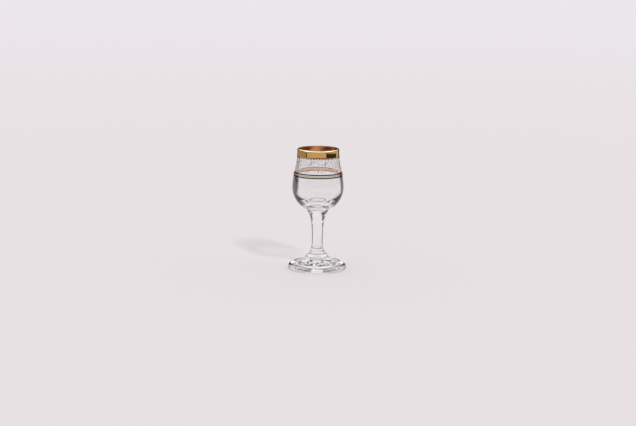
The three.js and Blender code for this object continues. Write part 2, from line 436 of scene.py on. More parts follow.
def stud_rings(mesh, stud, angle):
    along, up, normal, spot = place_on_bowl(stud.level, stud.height, angle)
    root = BEAD_ROOT + BEAD_RELIEF
    low = (BEAD_ROOT - GOLD_BITE) / root
    rings = []
    for k in range(STUD_RINGS):
        rise = lerp(low, 1, math.sin(QUARTER_TURN * k / STUD_RINGS))
        shrink = (1 - rise**stud.power) ** (1 / stud.power)
        ring = []
        for i in range(STUD_SIDES):
            turn = FULL_TURN * i / STUD_SIDES
            across = bent(math.cos(turn), stud.power) * shrink * stud.length / 2
            upward = bent(math.sin(turn), stud.power) * shrink * stud.height / 2
            point = spot + along * across + up * upward + normal * (rise * root - BEAD_ROOT)
            ring.append(mesh.verts.new(point * MM))
        rings.append(ring)
    top = mesh.verts.new((spot + normal * BEAD_RELIEF) * MM)
    return [*rings, [top]]


def add_stud(mesh, stud, angle):
    rings = stud_rings(mesh, stud, angle)
    mesh.faces.new(rings[0][::-1]).material_index = UNDERSIDE
    for row, (ring, above) in enumerate(zip(rings, rings[1:])):
        for i in range(STUD_SIDES):
            on_flank = math.sin(FULL_TURN * (i + 0.5) / STUD_SIDES) < FLANK_TOP
            face = face_between(mesh, ring, above, i, STUD_SIDES)
            face.material_index = SHADED if row < stud.dark_rows and on_flank else FACE


def beaded_line(low, high, stud, number=FACE):
    """A narrow gold ring with raised beads. The number is the ring's own material."""
    mesh = sleeve(low, high, number)
    for i in range(BEAD_COUNT):
        add_stud(mesh, stud, FULL_TURN * (i + 0.5) / BEAD_COUNT)
    return mesh


# Etched scrolls between the beading and the belt, drawn as (distance round the bowl, level)

LEVEL_HEADING = (1.0, 0.0)
RIBBON_CORNERS = ((1, -ETCH_BITE), (-1, -ETCH_BITE), (-1, ETCH_LIFT), (1, ETCH_LIFT))
FRIEZE_LENGTH = FULL_TURN * ETCH_RADIUS
HALF_WAVE = FRIEZE_LENGTH / SCROLL_COUNT


def etched_point(along, level, lift):
    return on_circle(outer_radius(level) + lift, along / ETCH_RADIUS, level)


def heading_at(path, i):
    before = path[max(i - 1, 0)]
    after = path[min(i + 1, len(path) - 1)]
    step = (after[0] - before[0], after[1] - before[1])
    reach = math.hypot(*step)
    return step[0] / reach, step[1] / reach


def add_ribbon(mesh, path, widths, closed=False):
    """A thin closed strip along a path. A path that closes round the bowl has its width straight up."""
    rows = []
    for i, (along, level) in enumerate(path):
        heading = LEVEL_HEADING if closed else heading_at(path, i)
        across = (-heading[1] * widths[i] / 2, heading[0] * widths[i] / 2)
        row = []
        for side, lift in RIBBON_CORNERS:
            spot = etched_point(along + side * across[0], level + side * across[1], lift)
            row.append(mesh.verts.new(spot))
        rows.append(row)
    pairs = list(zip(rows, rows[1:]))
    if closed:
        pairs.append((rows[-1], rows[0]))
    else:
        mesh.faces.new(rows[0])
        mesh.faces.new(rows[-1][::-1])
    for row, after in pairs:
        for i in range(len(row)):
            j = (i + 1) % len(row)
            mesh.faces.new((row[i], after[i], after[j], row[j]))


def add_leaf(mesh, root, heading, length, bend):
    path, widths = [], []
    along, level = root
    for i in range(LEAF_STEPS + 1):
        share = i / LEAF_STEPS
        path.append((along, level))
        widths.append(LEAF_TIP + LEAF_WIDTH * math.sin(math.pi * share) ** LEAF_FULLNESS)
        turn = heading + bend * share
        along += math.cos(turn) * length / LEAF_STEPS
        level += math.sin(turn) * length / LEAF_STEPS
    add_ribbon(mesh, path, widths)


def add_dot(mesh, centre, radius):
    top, bottom = [], []
    for i in range(DOT_SIDES):
        turn = FULL_TURN * i / DOT_SIDES
        spot = (centre[0] + radius * math.cos(turn), centre[1] + radius * math.sin(turn))
        top.append(mesh.verts.new(etched_point(*spot, ETCH_LIFT)))
        bottom.append(mesh.verts.new(etched_point(*spot, -ETCH_BITE)))
    mesh.faces.new(top)
    mesh.faces.new(bottom[::-1])
    for i in range(DOT_SIDES):
        j = (i + 1) % DOT_SIDES
        mesh.faces.new((bottom[i], bottom[j], top[j], top[i]))


def scroll_path(centre, flip):
    """A spiral that winds in to its centre, with the heading at each point. A flip of -1 inverts it."""
    path, headings = [], []
    for i in range(SCROLL_STEPS + 1):
        share = i / SCROLL_STEPS
        radius = SCROLL_CORE + (SCROLL_RADIUS - SCROLL_CORE) * (1 - share) ** SCROLL_TIGHTENING
        turn = math.pi + FULL_TURN * SCROLL_TURNS * share
        path.append((centre[0] + radius * math.cos(turn), centre[1] + flip * radius * math.sin(turn)))
        headings.append(math.atan2(flip * math.cos(turn), -math.sin(turn)))
    return path, headings


def add_scroll(mesh, centre, flip):
    path, headings = scroll_path(centre, flip)
    widths = [lerp(SCROLL_LINE, SCROLL_END_LINE, i / SCROLL_STEPS) for i in range(SCROLL_STEPS + 1)]
    add_ribbon(mesh, path, widths)
    add_dot(mesh, centre, BERRY_RADIUS)
    for i in range(LEAVES):
        at = int(SCROLL_STEPS * (FIRST_LEAF + LEAF_SPACING * i))
        length = LEAF_LENGTH * (1 - LEAF_SHRINK * i)
        outward = headings[at] - flip * OUTER_LEAF_TURN
        inward = headings[at] + flip * INNER_LEAF_TURN
        add_leaf(mesh, path[at], outward, length, flip * OUTER_LEAF_BEND)
        add_leaf(mesh, path[at], inward, INNER_LEAF_LENGTH, -flip * INNER_LEAF_BEND)


def add_sprig(mesh, root, flip):
    """Three leaves and a berry in the space between two scrolls."""
    for turn in SPRIG_LEAF_TURNS:
        heading = flip * QUARTER_TURN + math.pi + turn
        add_leaf(mesh, root, heading, SPRIG_LEAF_LENGTH, SPRIG_LEAF_BEND * turn)
    add_dot(mesh, (root[0], root[1] + flip * SPRIG_BERRY_RISE), SPRIG_BERRY_RADIUS)


def etched_frieze():
    mesh = bmesh.new()
    steps = SCROLL_COUNT * VINE_STEPS
    vine = []
    for i in range(steps):
        along = FRIEZE_LENGTH * i / steps
        vine.append((along, ETCH_MIDDLE + VINE_SWING * math.cos(math.pi * along / HALF_WAVE)))
    add_ribbon(mesh, vine, [VINE_LINE] * steps, closed=True)
    for level in (ETCH_LOW, ETCH_HIGH):
        border = [(FRIEZE_LENGTH * i / SEGMENTS, level) for i in range(SEGMENTS)]
        add_ribbon(mesh, border, [ETCH_LINE] * SEGMENTS, closed=True)
    for k in range(SCROLL_COUNT):
        flip = 1 if k % 2 == 0 else -1
        along = k * HALF_WAVE
        add_scroll(mesh, (along, ETCH_MIDDLE - flip * SCROLL_DROP), flip)
        add_sprig(mesh, (along + HALF_WAVE / 2, ETCH_MIDDLE + flip * SPRIG_RISE), flip)
    return mesh


# Ways to build a material

RISING = (0.0, 1.0)
FALLING = (1.0, 0.0)


class Shading:
    """A node tree, with short ways to add the nodes that this scene uses."""

    def __init__(self, tree):
        self.nodes = tree.nodes
        self.links = tree.links

    def node(self, kind):
        return self.nodes.new("ShaderNode" + kind)

    def place(self):
        """Where the surface is, in metres from the middle of the foot's underside."""
        return self.node("TexCoord").outputs["Object"]

    def axes(self, place):
        made = self.node("SeparateXYZ")
        self.links.new(place, made.inputs["Vector"])
        return made.outputs

    def facing(self):
        """The slant of the surface, from 0 where it is seen squarely to 1 where it is seen edge on."""
        return self.node("LayerWeight").outputs["Facing"]

    def from_within(self):
        """1 where light strikes the surface from inside the glass."""
        return self.node("NewGeometry").outputs["Backfacing"]

    def noise(self, place, scale, detail):
        made = self.node("TexNoise")
        made.inputs["Scale"].default_value = scale
        made.inputs["Detail"].default_value = detail
        self.links.new(place, made.inputs["Vector"])
        return made.outputs["Fac"]

    def ramp(self, source, span, values=RISING):
        """Turns a span of one value into a span of another, held at its ends."""
        made = self.node("MapRange")
        for name, value in zip(("From Min", "From Max", "To Min", "To Max"), (*span, *values)):
            made.inputs[name].default_value = value
        self.links.new(source, made.inputs["Value"])
        return made.outputs["Result"]

    def combine(self, operation, first, second):
        made = self.node("Math")
        made.operation = operation
        self.links.new(first, made.inputs[0])
        self.links.new(second, made.inputs[1])
        return made.outputs["Value"]

    def plus(self, first, second):
        return self.combine("ADD", first, second)

    def less(self, first, second):
        return self.combine("SUBTRACT", first, second)

    def times(self, first, second):
        return self.combine("MULTIPLY", first, second)

    def most(self, first, second):
        return self.combine("MAXIMUM", first, second)

    def length(self, vector):
        made = self.node("VectorMath")
        made.operation = "LENGTH"
        self.links.new(vector, made.inputs[0])
        return made.outputs["Value"]

    def tone(self, source, stops):
        """A colour that follows a value through stops of (value, colour)."""
        made = self.node("ValToRGB")
        elements = made.color_ramp.elements
        while len(elements) < len(stops):
            elements.new(0.5)
        for element, (position, colour) in zip(elements, stops):
            element.position = position
            element.color = (*colour, 1)
        self.links.new(source, made.inputs["Fac"])
        return made.outputs["Color"]


class Material(Shading):
    """A material with one principled shader."""

    def __init__(self, name):
        self.made = bpy.data.materials.new(name)
        self.made.use_nodes = True
        super().__init__(self.made.node_tree)
        self.shader = self.nodes["Principled BSDF"]

    def set(self, name, value):
        self.shader.inputs[name].default_value = value

    def feed(self, name, source):
        self.links.new(source, self.shader.inputs[name])

    def bump(self, source, height):
        """Raises the surface by up to a height in metres."""
        made = self.node("Bump")
        made.inputs["Distance"].default_value = height
        self.links.new(source, made.inputs["Height"])
        self.feed("Normal", made.outputs["Normal"])


# Glass. Levels and places are given in mm(), slants as facing() measures them. The passes are the shares of
# the lamp's light that go through, where the surface is square to it and where it slants away. The mirror's
# slants lie at the angle past which glass mirrors all light from within, its depths count a ray's bounces.
GLASS_IOR = 1.51
GLASS_COLOUR = (0.980, 0.979, 0.981)
# Tone of the painted reflection of a dim room, and of the painted ring in the hollow
PAINTED_REFLECTION_TONE = (0.14, 0.135, 0.15)
RIPPLE_SCALE = 70.0
RIPPLE_DETAIL = 1.0
RIPPLE_HEIGHT = 0.06 * MM
SMEAR_SCALE = 160.0
SMEAR_DETAIL = 3.0
SMEAR_SPAN = (0.5, 0.7)
SMEAR_ROUGHNESS = 0.03
PASS_SLANTS = (0.25, 0.9)
BOWL_PASSES = (0.88, 0.35)
STEM_PASSES = (0.6, 0.25)
FOOT_PASSES = (0.98, 0.6)
MIRROR_SLANTS = (0.245, 0.255)
MIRROR_DEPTHS = (2.5, 4.5)


def clear_glass(name):
    """Clear glass with faint ripples and smears."""
    glass = Material(name)
    glass.set("Transmission Weight", 1.0)
    glass.set("IOR", GLASS_IOR)
    glass.set("Base Color", (*GLASS_COLOUR, 1))
    place = glass.place()
    glass.bump(glass.noise(place, RIPPLE_SCALE, RIPPLE_DETAIL), RIPPLE_HEIGHT)
    smear = glass.noise(place, SMEAR_SCALE, SMEAR_DETAIL)
    glass.feed("Roughness", glass.ramp(smear, SMEAR_SPAN, (0.0, SMEAR_ROUGHNESS)))
    return glass


def lamp_share(glass, passes):
    """How much of the lamp's light goes through, so that the shadow is a pale one."""
    passed = glass.ramp(glass.facing(), PASS_SLANTS, passes)
    return glass.times(passed, glass.node("LightPath").outputs["Is Shadow Ray"])


def open_up(glass, share):
    """Lets a share of the light through the surface unbent."""
    glass.feed("Alpha", glass.ramp(share, RISING, FALLING))


def inner_mirror(glass, outside, kept):
    """Light mirrored inside the glass keeps a share of its brightness, the rest has the outside's tone."""
    inside = glass.times(glass.ramp(glass.facing(), MIRROR_SLANTS), glass.from_within())
    mix = glass.node("Mix")
    mix.data_type = "RGBA"
    glass.links.new(inside, mix.inputs["Factor"])
    glass.links.new(outside, mix.inputs["A"])
    glass.links.new(kept, mix.inputs["B"])
    glass.feed("Base Color", mix.outputs["Result"])
    glass.feed("Metallic", inside)


def kept_share(glass, shares):
    """How much light stays at the first reflection inside the glass and at the later ones."""
    path = glass.node("LightPath").outputs
    kept = glass.ramp(path["Ray Depth"], MIRROR_DEPTHS, shares)
    return glass.most(kept, glass.ramp(path["Diffuse Depth"], RISING))


# Outside of the bowl: painted shade along its edge, and a faint grey lower down
EDGE_START_LEVELS = mm(86.0, 97.0)
EDGE_START_SLANTS = (0.56, 0.72)
EDGE_FADE = (0.0, 0.2)
EDGE_DEPTH_LEVELS = mm(95.0, 99.0)
EDGE_DEPTHS = (0.6, 1.0)
BELLY_GREY_LEVELS = mm(91.0, 96.0)
BELLY_GREYS = (0.042, 0.0)
PAINTED_EDGE_TONES = ((0.0, GLASS_COLOUR), (0.6, (0.47, 0.46, 0.49)), (1.0, (0.1, 0.1, 0.1)))
SEAT_LEVELS = mm(58.4, 58.6)


def bowl_skin():
    """Outside of the bowl: a painted dark edge, broad round the belly and thin towards the rim, a faint grey
    lower down, and a clear seat.
    """
    glass = clear_glass("bowl_skin")
    level = glass.axes(glass.place())["Z"]
    start = glass.ramp(level, EDGE_START_LEVELS, EDGE_START_SLANTS)
    fade = glass.ramp(glass.less(glass.facing(), start), EDGE_FADE)
    edge = glass.times(fade, glass.ramp(level, EDGE_DEPTH_LEVELS, EDGE_DEPTHS))
    shade = glass.most(edge, glass.ramp(level, BELLY_GREY_LEVELS, BELLY_GREYS))
    glass.feed("Base Color", glass.tone(shade, PAINTED_EDGE_TONES))
    seat = glass.times(glass.ramp(level, SEAT_LEVELS, FALLING), glass.from_within())
    open_up(glass, glass.most(seat, lamp_share(glass, BOWL_PASSES)))
    return glass.made


# Hollow of the bowl. The band is a painted reflection of a dim room, where the wall would mirror light from
# within, and a dark ring is painted on the floor.
BAND_LOW_LEVELS = mm(66.0, 74.0)
BAND_LOW_SLANTS = (0.40, 0.26)
BAND_WIDE_LEVELS = mm(74.0, 80.0)
BAND_WIDE_SLANTS = (0.0, 0.06)
BAND_NARROW_LEVELS = mm(88.0, 95.0)
BAND_NARROW_SHARES = (1.0, 0.2)
BAND_SIDES = mm(-12.0, 12.0)
BAND_SIDE_SLANTS = (-0.04, 0.02)
BAND_SIDE_LEVELS = mm(72.0, 78.0)
BAND_FADE = (0.0, 0.04)
BAND_THIN_FADE = (0.04, 0.07)
BAND_THIN_LEVELS = mm(90.0, 96.0)
BAND_END_LEVELS = mm(64.4, 65.4)
RING_INNER_LEVELS = mm(62.72, 62.87)
RING_OUTER_LEVELS = mm(63.2, 63.4)


def wall_glass():
    """Glass of the hollow, with a painted reflection of a dim room where light strikes it flatly from within
    the wall, and a painted dark ring on its floor.
    """
    glass = clear_glass("wall_glass")
    open_up(glass, lamp_share(glass, BOWL_PASSES))
    spot = glass.axes(glass.place())
    level = spot["Z"]
    low = glass.ramp(level, BAND_LOW_LEVELS, BAND_LOW_SLANTS)
    widening = glass.ramp(level, BAND_WIDE_LEVELS, BAND_WIDE_SLANTS)
    wide = glass.times(widening, glass.ramp(level, BAND_NARROW_LEVELS, BAND_NARROW_SHARES))
    leaning = glass.ramp(spot["X"], BAND_SIDES, BAND_SIDE_SLANTS)
    sided = glass.times(leaning, glass.ramp(level, BAND_SIDE_LEVELS))
    past = glass.less(glass.facing(), glass.plus(glass.less(low, wide), sided))
    thin = glass.times(glass.ramp(past, BAND_THIN_FADE), glass.ramp(level, BAND_THIN_LEVELS))
    band = glass.times(glass.less(glass.ramp(past, BAND_FADE), thin), glass.from_within())
    mirrored = glass.times(band, glass.ramp(level, BAND_END_LEVELS))
    ring = glass.times(glass.ramp(level, RING_INNER_LEVELS), glass.ramp(level, RING_OUTER_LEVELS, FALLING))
    shade = glass.most(mirrored, ring)
    glass.feed("Base Color", glass.tone(shade, ((0.0, GLASS_COLOUR), (1.0, PAINTED_REFLECTION_TONE))))
    glass.feed("Metallic", mirrored)
    return glass.made


# Stem
# Painted shade: noise breaks up the painted dark sides below the head, and one side is darker than the other
# there
SHADE_BREAK_SCALE = 330.0
SHADE_BREAK_DETAIL = 1.0
SHADE_BREAK_SPAN = (0.39, 0.43)
SHADE_BREAK_LEVELS = mm(38.0, 43.0)
SIDE_BASE_LEVELS = mm(20.0, 24.0)
SIDE_BASE_SLANTS = (0.4, 0.0)
SIDE_HEAD_LEVELS = mm(41.0, 45.0)
SIDE_HEAD_SLANTS = (0.42, 0.31)
SIDE_PLACES = mm(-4.0, 4.0)
SIDE_PLACE_SLANTS = (0.02, -0.05)
SIDE_FADE = (0.0, 0.07)
STEM_JOINT_LEVELS = mm(15.3, 15.7)
STEM_JOINT_SHADES = (0.85, 0.0)
STEM_RING_LINES = ((20.0, 1.0), (17.4, 0.9))
STEM_RING_CORE = 0.1
STEM_RING_REACH = 0.5
STEM_RING_SLANTS = (0.1, 0.4)
STEM_RING_FRONT = 0.4
STEM_SHADE_TONE = (0.02, 0.02, 0.022)
STEM_KEPT = (0.98, 0.96)


def painted_stem_ring(glass, level, facing, line, strength):
    """A dark line painted round the stem, fainter where it faces the eye."""
    low = glass.ramp(level, mm(line - STEM_RING_REACH, line - STEM_RING_CORE))
    high = glass.ramp(level, mm(line + STEM_RING_CORE, line + STEM_RING_REACH), FALLING)
    slant = glass.ramp(facing, STEM_RING_SLANTS, (STEM_RING_FRONT * strength, strength))
    return glass.times(glass.times(low, high), slant)


def stem_glass():
    """Glass of the stem, with painted dark sides that are broken up below the head, painted shade where it
    meets the foot, and dark rings painted round it.
    """
    glass = clear_glass("stem_glass")
    open_up(glass, lamp_share(glass, STEM_PASSES))
    place = glass.place()
    spot = glass.axes(place)
    level = spot["Z"]
    facing = glass.facing()
    shade_breaks = glass.ramp(glass.noise(place, SHADE_BREAK_SCALE, SHADE_BREAK_DETAIL), SHADE_BREAK_SPAN)
    broken = glass.most(shade_breaks, glass.ramp(level, SHADE_BREAK_LEVELS, FALLING))
    at_base = glass.ramp(level, SIDE_BASE_LEVELS, SIDE_BASE_SLANTS)
    start = glass.plus(at_base, glass.ramp(level, SIDE_HEAD_LEVELS, SIDE_HEAD_SLANTS))
    leaning = glass.ramp(spot["X"], SIDE_PLACES, SIDE_PLACE_SLANTS)
    sided = glass.times(leaning, glass.ramp(level, SIDE_HEAD_LEVELS))
    past = glass.less(facing, glass.plus(start, sided))
    sides = glass.times(glass.ramp(past, SIDE_FADE), broken)
    shade = glass.most(sides, glass.ramp(level, STEM_JOINT_LEVELS, STEM_JOINT_SHADES))
    for line, strength in STEM_RING_LINES:
        shade = glass.most(shade, painted_stem_ring(glass, level, facing, line, strength))
    outside = glass.tone(shade, ((0.0, GLASS_COLOUR), (1.0, STEM_SHADE_TONE)))
    inner_mirror(glass, outside, kept_share(glass, STEM_KEPT))
    return glass.made


# Foot
FOOT_JOINT_LEVELS = mm(14.3, 14.6)
FOOT_JOINT_SHADES = (0.0, 0.8)
FOOT_EDGE_LEVELS = mm(5.0, 7.0)
FOOT_EDGE_SLANTS = (0.62, 0.88)
FOOT_EDGE_FADE = (0.0, 0.2)
FOOT_SHADE_TONE = (0.2, 0.2, 0.21)
FOOT_KEPT = (0.98, 0.5)
WITHOUT_HEIGHT = (1.0, 1.0, 0.0)
FLECK_TURN = math.radians(-90)
FLECK_SCALE = 360.0
FLECK_DETAIL = 2.0
FLECK_SPAN = (0.56, 0.58)
FLECK_REACH = mm(15.5, 17.5)
FLECK_PLACES = mm(3.0, 6.0)
FLECK_COLOUR = (0.4, 0.4, 0.41)
FLECK_KEPT = 0.03


def foot_glass():
    """Top of the foot, with painted shade along its edge and where it meets the stem."""
    glass = clear_glass("foot_glass")
    open_up(glass, lamp_share(glass, FOOT_PASSES))
    level = glass.axes(glass.place())["Z"]
    joint = glass.ramp(level, FOOT_JOINT_LEVELS, FOOT_JOINT_SHADES)
    start = glass.ramp(level, FOOT_EDGE_LEVELS, FOOT_EDGE_SLANTS)
    edge = glass.ramp(glass.less(glass.facing(), start), FOOT_EDGE_FADE)
    outside = glass.tone(glass.most(edge, joint), ((0.0, GLASS_COLOUR), (1.0, FOOT_SHADE_TONE)))
    inner_mirror(glass, outside, kept_share(glass, FOOT_KEPT))
    return glass.made


def flecks(glass):
    """Dark flecks in the middle of the underside, on the half towards the photo's camera."""
    place = glass.place()
    flat = glass.node("VectorMath")
    flat.operation = "MULTIPLY"
    flat.inputs[1].default_value = WITHOUT_HEIGHT
    glass.links.new(place, flat.inputs[0])
    reach = glass.length(flat.outputs["Vector"])
    turned = glass.node("Mapping")
    turned.inputs["Rotation"].default_value = (0.0, 0.0, FLECK_TURN)
    glass.links.new(place, turned.inputs["Vector"])
    noise = glass.noise(turned.outputs["Vector"], FLECK_SCALE, FLECK_DETAIL)
    near = glass.ramp(glass.axes(place)["Y"], FLECK_PLACES, FALLING)
    middle = glass.times(glass.ramp(reach, FLECK_REACH, FALLING), near)
    return glass.times(glass.ramp(noise, FLECK_SPAN), middle)


def foot_underside():
    """Underside of the foot, with painted dark flecks, which also darken what is mirrored in it."""
    glass = clear_glass("foot_underside")
    open_up(glass, lamp_share(glass, FOOT_PASSES))
    fleck = flecks(glass)
    kept = glass.times(glass.ramp(fleck, RISING, (1.0, FLECK_KEPT)), kept_share(glass, FOOT_KEPT))
    outside = glass.tone(fleck, ((0.0, GLASS_COLOUR), (1.0, FLECK_COLOUR)))
    inner_mirror(glass, outside, kept)
    return glass.made


# Etched glass and welds
FROST_SCALE = 2500.0
FROST_DETAIL = 2.0
FROST_SPAN = (0.3, 0.7)
FROST_TONES = ((0.3, (0.19, 0.18, 0.17)), (0.7, (0.42, 0.395, 0.37)))
FROST_ROUGHNESS = (0.5, 0.75)
FROST_HEIGHT = 0.006 * MM


def etched_glass():
    frost = Material("etched_glass")
    grain = frost.noise(frost.place(), FROST_SCALE, FROST_DETAIL)
    frost.feed("Base Color", frost.tone(grain, FROST_TONES))
    frost.feed("Roughness", frost.ramp(grain, FROST_SPAN, FROST_ROUGHNESS))
    frost.bump(grain, FROST_HEIGHT)
    return frost.made


def weld_glass():
    """Faces that touch in a weld, where nothing shows."""
    weld = Material("glass_weld")
    weld.set("Alpha", 0.0)
    return weld.made


# Gold
BRUSH_SCALE = 900.0
BRUSH_DETAIL = 2.0
BRUSH_SPAN = (0.3, 0.7)
PATCH_SCALE = 110.0
PATCH_DETAIL = 1.0
PATCH_SPAN = (0.35, 0.65)
RUB_SCALE = 700.0
RUB_DETAIL = 3.0
RUB_SPAN = (0.60, 0.70)
RUB_ROUGHNESS = 0.2
GRAIN_SCALE = 2600.0
GRAIN_DETAIL = 2.0
GRAIN_HEIGHT = 0.006 * MM
PAINTED_SHADE_DEPTH = 0.4
INNER_SHADE_LEVELS = mm(111.0, 114.0)
BRIGHT_EDGE = (1, 1, 1)
# Edge tint that dims the gold's gloss at grazing angles, for the belt's golds and the shaded gold
SHADED_EDGE_TINT = (0.12, 0.08, 0.065)


def gold(name, light, deep, roughness, patches=0.0, edge=BRIGHT_EDGE, worn=0.0, fade=None):
    """Fired gold: fine brush marks, broad patches where it was laid thinner, and small rubbed spots.

    Below the levels of the fade it darkens towards the deep colour, a painted shade.
    """
    metal = Material(name)
    metal.set("Metallic", 1.0)
    metal.set("Specular Tint", (*edge, 1))
    place = metal.place()
    brush = metal.noise(place, BRUSH_SCALE, BRUSH_DETAIL)
    broad = metal.noise(place, PATCH_SCALE, PATCH_DETAIL)
    rubbed = metal.ramp(metal.noise(place, RUB_SCALE, RUB_DETAIL), RUB_SPAN, (0.0, worn))
    half = patches / 2
    marks = metal.ramp(brush, BRUSH_SPAN, (half, 1.0 - half))
    laid = metal.plus(marks, metal.ramp(broad, PATCH_SPAN, (-half, half)))
    share = metal.less(laid, rubbed)
    if fade:
        share = metal.less(share, metal.ramp(metal.axes(place)["Z"], fade, (PAINTED_SHADE_DEPTH, 0.0)))
    metal.feed("Base Color", metal.tone(share, ((0.0, deep), (1.0, light))))
    polish = metal.ramp(brush, BRUSH_SPAN, roughness)
    metal.feed("Roughness", metal.plus(polish, metal.ramp(rubbed, RISING, (0.0, RUB_ROUGHNESS))))
    metal.bump(metal.noise(place, GRAIN_SCALE, GRAIN_DETAIL), GRAIN_HEIGHT)
    return metal.made


def rim_golds():
    """Golds of the lip's face, paler than the band's as a painted highlight, of the band's face, and of the
    underside that shows through the glass, darker towards its lower edge as painted shade.
    """
    # The lip's gold is a paler copy of the band's, a painted highlight
    lip = gold(
        "lip_gold",
        light=(0.86, 0.71, 0.46),
        deep=(0.74, 0.59, 0.34),
        roughness=(0.05, 0.1),
        patches=0.3,
        worn=0.8,
    )
    band = gold(
        "fired_gold",
        light=(0.70, 0.42, 0.15),
        deep=(0.60, 0.35, 0.12),
        roughness=(0.04, 0.08),
        worn=0.5,
    )
    through = gold(
        "gold_through_glass",
        light=(0.95, 0.46, 0.17),
        deep=(0.22, 0.06, 0.02),
        roughness=(0.10, 0.2),
        patches=1.0,
        fade=INNER_SHADE_LEVELS,
    )
    return lip, band, through


def belt_golds():
    """Golds of the belt's lines, near black as painted shade, of its studs, paler as a painted highlight,
    and of the underside that shows through the glass.
    """
    # The belt's line gold is near black, painted shade
    line = gold(
        "belt_gold",
        light=(0.09, 0.043, 0.023),
        deep=(0.045, 0.02, 0.011),
        roughness=(0.06, 0.12),
        edge=SHADED_EDGE_TINT,
    )
    # The studs' gold is paler than the band's, a painted highlight
    stud = gold(
        "belt_stud_gold",
        light=(0.74, 0.57, 0.42),
        deep=(0.50, 0.34, 0.21),
        roughness=(0.08, 0.16),
        edge=SHADED_EDGE_TINT,
    )
    through = gold(
        "belt_gold_through_glass",
        light=(0.86, 0.40, 0.02),
        deep=(0.36, 0.13, 0.005),
        roughness=(0.12, 0.22),
        patches=0.6,
        edge=SHADED_EDGE_TINT,
    )
    return line, stud, through


def shaded_gold():
    """Gold darkened as painted shade, in the recesses round the beads and on their lower flanks."""
    return gold(
        "gold_painted_shade",
        light=(0.05, 0.021, 0.014),
        deep=(0.022, 0.009, 0.006),
        roughness=(0.3, 0.4),
        edge=SHADED_EDGE_TINT,
    )


# Pieces

def glass_pieces():
    weld = weld_glass()
    piece("glass_foot", lathe(foot_runs()), [foot_glass(), weld, foot_underside()], "clear_glass", "foot")
    piece("glass_stem", lathe(stem_runs()), [stem_glass(), weld], "clear_glass", "stem")
    piece("glass_bowl", lathe(bowl_runs()), [bowl_skin(), weld, wall_glass()], "clear_glass", "bowl")


def gold_pieces():
    shade_gold = shaded_gold()
    lip, band, through = rim_golds()
    band_golds = [band, through, shade_gold]
    edging = beaded_line(EDGING_LOW, EDGING_TOP, RIM_BEAD)
    piece("gold_lip", lip_gilding(), [lip, through, shade_gold], "fired_gold", "lip_gilding")
    piece("gold_band", sleeve(EDGING_TOP, LIP_CENTRE_LEVEL), band_golds, "fired_gold", "rim_band")
    piece("gold_beading", edging, band_golds, "fired_gold", "rim_band_beading")

    line, stud, belt_through = belt_golds()
    line_golds = [line, belt_through, shade_gold]
    spine_low = BELT_MIDDLE - BELT_SPINE_HEIGHT / 2
    spine_high = BELT_MIDDLE + BELT_SPINE_HEIGHT / 2
    frieze = beaded_line(spine_low, spine_high, BELT_STUD, SHADED)
    piece("gold_belt_upper", sleeve(BELT_FRIEZE_TOP, BELT_TOP), line_golds, "fired_gold", "belt_upper_line")
    piece("gold_belt_frieze", frieze, [stud, belt_through, shade_gold], "fired_gold", "belt_frieze")
    piece("gold_belt_lower", sleeve(BELT_LOW, BELT_FRIEZE_LOW), line_golds, "fired_gold", "belt_lower_line")


# Floor and backdrop, in metres. The sky's tones run from the horizon to overhead.
FLOOR_RADIUS = 14.0
FLOOR_SIDES = 64
FLOOR_GAP = 0.1 * MM
# Painted light: the floor grows paler from 0.6 m to 4 m out
FLOOR_SPAN = (0.6, 4.0)
FLOOR_COLOUR = (0.80, 0.755, 0.765)
FAR_FLOOR_COLOUR = (0.825, 0.793, 0.833)
BACKGROUND = (0.815, 0.784, 0.823)
SKY_TONES = ((0.0, (0.80, 0.788, 0.792)), (1.0, (0.82, 0.8077, 0.8118)))
MATT = 0.9


def pale_floor():
    pale = Material("pale_floor")
    distance = pale.ramp(pale.length(pale.place()), FLOOR_SPAN)
    pale.feed("Base Color", pale.tone(distance, ((0.0, FLOOR_COLOUR), (1.0, FAR_FLOOR_COLOUR))))
    pale.set("Roughness", MATT)
    pale.set("Specular IOR Level", 0.0)
    mesh = bmesh.new()
    bmesh.ops.create_circle(mesh, cap_ends=True, segments=FLOOR_SIDES, radius=FLOOR_RADIUS)
    made = add_object("floor", mesh, [pale.made])
    made.location.z = -FLOOR_GAP


def studio():
    """A soft sky that lights the glass, and a plain backdrop that shows past it, in it and through it."""
    world = bpy.data.worlds.new("studio")
    bpy.context.scene.world = world
    world.use_nodes = True
    shading = Shading(world.node_tree)
    seen = shading.nodes["Background"]
    seen.inputs["Color"].default_value = (*BACKGROUND, 1)
    height = shading.axes(shading.node("TexCoord").outputs["Generated"])["Z"]
    sky = shading.node("Background")
    shading.links.new(shading.tone(height, SKY_TONES), sky.inputs["Color"])
    path = shading.node("LightPath").outputs
    looking = shading.most(path["Is Camera Ray"], path["Is Glossy Ray"])
    looking = shading.most(looking, path["Is Transmission Ray"])
    choice = shading.node("MixShader")
    shading.links.new(looking, choice.inputs["Fac"])
    shading.links.new(sky.outputs["Background"], choice.inputs[1])
    shading.links.new(seen.outputs["Background"], choice.inputs[2])
    shading.links.new(choice.outputs["Shader"], shading.nodes["World Output"].inputs["Surface"])


# Cards that show in the gold: painted reflections, dark ones for a dim room and glowing ones for highlights,
# which light nothing else

class Card(NamedTuple):
    """A curved card round the glass, seen only in its mirror-like surfaces.

    Its turns are in degrees, to the right from the camera. Its foot and head are (distance from the axis,
    level) in metres. Where the head slants, head_end is its place at the last turn.
    """

    name: str
    colour: tuple
    glow: float
    turns: tuple
    foot: tuple
    head: tuple
    head_end: tuple = ()


